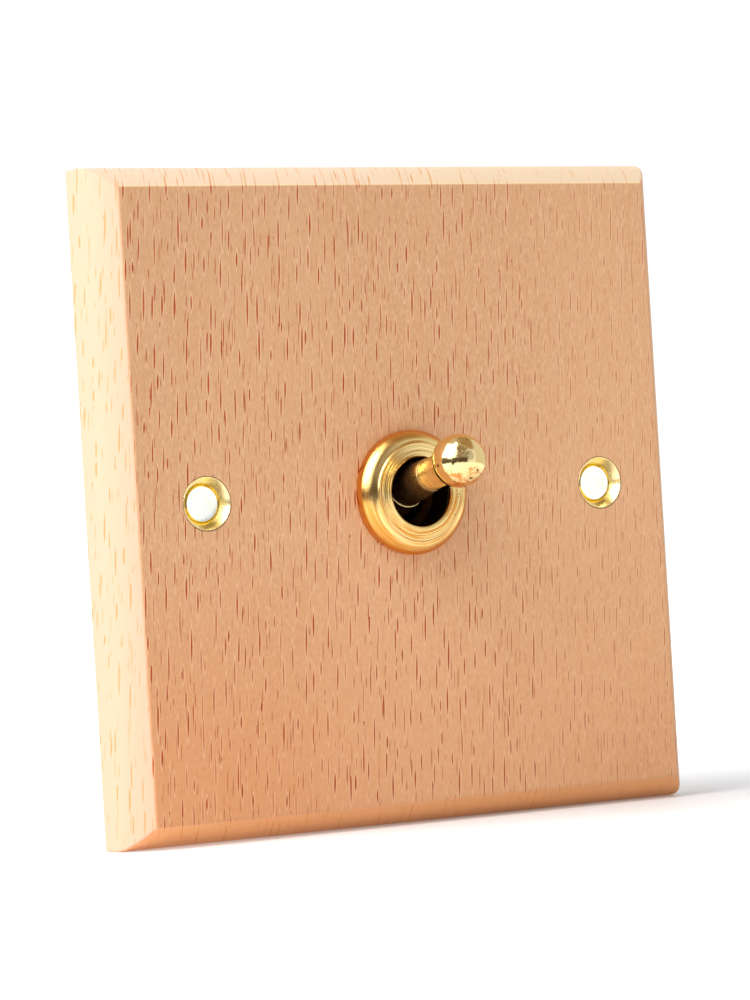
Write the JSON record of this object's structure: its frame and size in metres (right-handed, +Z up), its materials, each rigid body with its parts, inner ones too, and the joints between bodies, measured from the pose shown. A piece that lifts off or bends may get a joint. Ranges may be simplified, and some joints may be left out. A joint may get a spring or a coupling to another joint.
{
  "type": "toggle wall switch",
  "caption": "Square wooden wall plate with a round brass bezel, a ball-ended toggle lever, capped side fixings and a two-way screw-terminal switch body behind.",
  "frame": {"origin": "centre of the face plate's back face, on the wall plane", "axes": "+Y into the wall, so the plate faces -Y; +X to the right as seen from the room; +Z up"},
  "size_m": [0.086, 0.0504, 0.086],
  "materials": {
    "beech": "clear oiled beech, vertical grain with short dark flecks",
    "brass_polished": "polished brass",
    "brass_turned": "lathe-turned brass with fine rings",
    "brass_plain": "plain machined brass",
    "steel": "zinc-plated steel",
    "nylon": "natural nylon",
    "phenolic": "moulded dark brown phenolic",
    "copper": "rolled copper alloy",
    "silver": "silver contact face"
  },
  "bodies": {
    "base": {"face_plate": "beech", "bezel_ring": "brass_turned", "bushing": "brass_plain", "lock_washer": "steel", "lock_nut": "brass_plain", "earth_tag": "brass_plain", "earth_screw": "brass_plain", "earth_nut": "brass_plain", "pivot_pin": "steel", "fixed_contact_upper": "silver", "fixed_contact_lower": "silver", "terminal_upper": "brass_plain", "terminal_common": "brass_plain", "terminal_lower": "brass_plain", "terminal_clamp_upper": "steel", "terminal_clamp_common": "steel", "terminal_clamp_lower": "steel", "terminal_screw_upper": "brass_plain", "terminal_screw_common": "brass_plain", "terminal_screw_lower": "brass_plain", "housing": "phenolic", "frame": "steel", "screw_cup_left": "brass_polished", "screw_cup_right": "brass_polished", "screw_cap_left": "brass_polished", "screw_cap_right": "brass_polished", "fixing_screw_left": "brass_plain", "fixing_screw_right": "brass_plain"},
    "lever": {"lever": "brass_turned", "lever_knob": "brass_polished", "plunger_spring": "steel"},
    "plunger": {"plunger": "nylon"},
    "rocker": {"rocker": "nylon", "contact_strip": "copper", "moving_contact_upper": "silver", "moving_contact_lower": "silver"}
  },
  "joints": [
    {"name": "lever_tilt", "type": "hinge", "parent": "base", "child": "lever", "pos_m": [0, -0.0041, 0], "axis": [1, 0, 0], "range_deg": [0, 24]},
    {"name": "plunger_slide", "type": "slide", "parent": "lever", "child": "plunger", "axis": [0, -0.9781, 0.2079], "range_m": [0, 0.0008], "stiffness_N_per_m": 800, "springref_m": -0.001, "deforming": ["plunger_spring"]},
    {"name": "rocker_tilt", "type": "hinge", "parent": "base", "child": "rocker", "pos_m": [0, 0.0125, 0], "axis": [1, 0, 0], "range_deg": [-16, 0]}
  ],
  "couplings": [
    {"joint": "rocker_tilt", "follows": "lever_tilt", "ratio": -0.66667}
  ]
}
